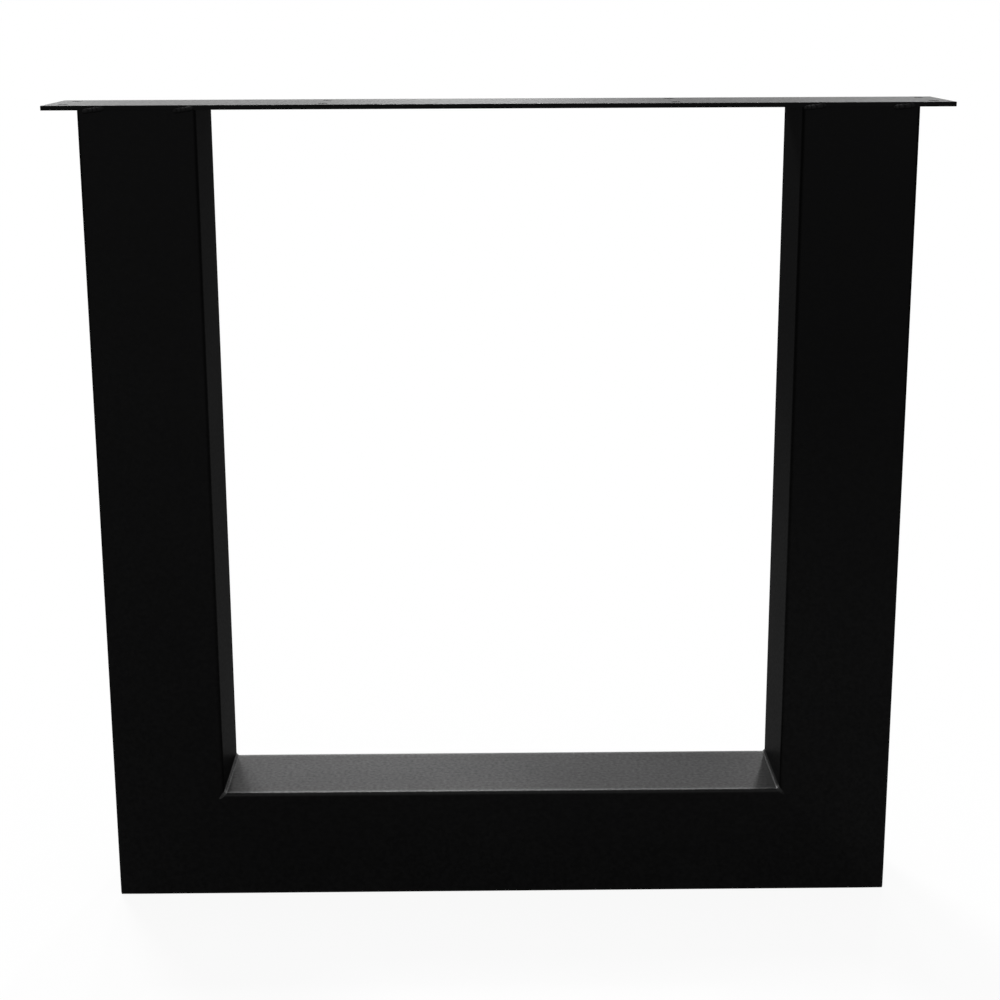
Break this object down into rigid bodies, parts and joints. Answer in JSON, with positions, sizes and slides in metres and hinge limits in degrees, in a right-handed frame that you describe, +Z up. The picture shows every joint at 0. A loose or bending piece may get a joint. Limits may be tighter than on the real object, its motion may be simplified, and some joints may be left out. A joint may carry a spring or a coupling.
{
  "type": "u-shaped table leg",
  "caption": "U-shaped table leg of welded square steel tube in black powder coat, with an overhanging flat plate on top that screws to the underside of a table top.",
  "frame": {"origin": "on the floor, in the middle of the bottom rail's underside", "axes": "+X across the leg from one upright to the other, +Y from the front face to the back face, +Z up"},
  "size_m": [0.77, 0.1032, 0.72],
  "materials": {
    "black_powder_coat": "satin black powder coat on steel"
  },
  "bodies": {
    "root": {"mounting_plate": "black_powder_coat", "left_upright": "black_powder_coat", "right_upright": "black_powder_coat", "bottom_rail": "black_powder_coat", "plate_welds": "black_powder_coat", "corner_welds": "black_powder_coat"}
  },
  "joints": []
}
